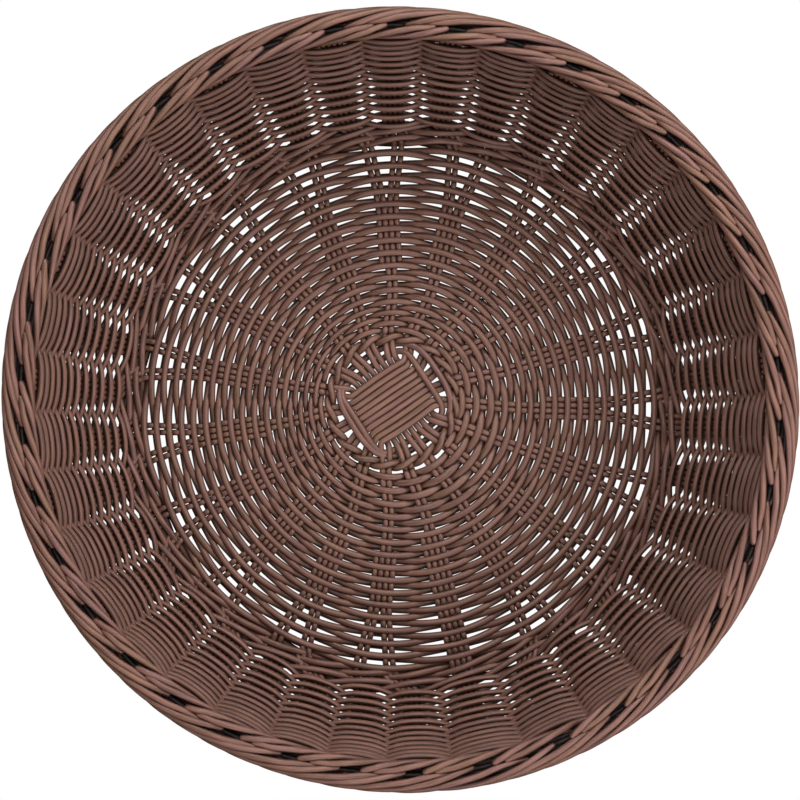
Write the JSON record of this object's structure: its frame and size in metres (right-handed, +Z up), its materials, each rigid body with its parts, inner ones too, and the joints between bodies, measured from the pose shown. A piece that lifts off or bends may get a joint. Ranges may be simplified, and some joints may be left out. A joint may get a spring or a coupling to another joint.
{
  "type": "round woven bread basket",
  "caption": "Open round basket of woven synthetic rattan with a flat spiral-woven base, a flared wall and a rolled rim, for serving bread.",
  "frame": {"origin": "centre of the flat underside of the foot wale, which is the plane the basket stands on", "axes": "+Z up along the basket's axis, towards its open mouth; +X and +Y across the mouth, with the base's cross turned 34 degrees from +X"},
  "size_m": [0.4, 0.3996, 0.1],
  "materials": {
    "weaving_strand": "satin mauve-brown extruded strand with fine lengthwise streaks",
    "stake_strand": "satin mauve-brown extruded strand, seen between the weave",
    "rim_strand": "satin mauve-brown extruded strand, a little lighter on the rim",
    "core": "dull near-black core hoop under the rim"
  },
  "bodies": {
    "root": {"base_weaver": "weaving_strand", "centre_cross_lower": "weaving_strand", "centre_cross_upper": "weaving_strand", "corner_wale": "weaving_strand", "foot_wale": "weaving_strand", "rim_core": "core", "rim_inner_roll": "rim_strand", "rim_outer_roll": "rim_strand", "stake_01": "stake_strand", "stake_02": "stake_strand", "stake_03": "stake_strand", "stake_04": "stake_strand", "stake_05": "stake_strand", "stake_06": "stake_strand", "stake_07": "stake_strand", "stake_08": "stake_strand", "stake_09": "stake_strand", "stake_10": "stake_strand", "stake_11": "stake_strand", "stake_12": "stake_strand", "stake_13": "stake_strand", "stake_14": "stake_strand", "stake_15": "stake_strand", "stake_16": "stake_strand", "stake_17": "stake_strand", "stake_18": "stake_strand", "stake_19": "stake_strand", "stake_20": "stake_strand", "stake_21": "stake_strand", "stake_22": "stake_strand", "stake_23": "stake_strand", "stake_24": "stake_strand", "stake_25": "stake_strand", "stake_26": "stake_strand", "stake_27": "stake_strand", "stake_28": "stake_strand", "stake_29": "stake_strand", "stake_30": "stake_strand", "stake_31": "stake_strand", "stake_32": "stake_strand", "stake_33": "stake_strand", "stake_34": "stake_strand", "stake_35": "stake_strand", "stake_36": "stake_strand", "stake_37": "stake_strand", "wall_weave_1": "weaving_strand", "wall_weave_2": "weaving_strand", "wall_weave_3": "weaving_strand", "wall_weave_4": "weaving_strand", "wall_weave_5": "weaving_strand"}
  },
  "joints": []
}
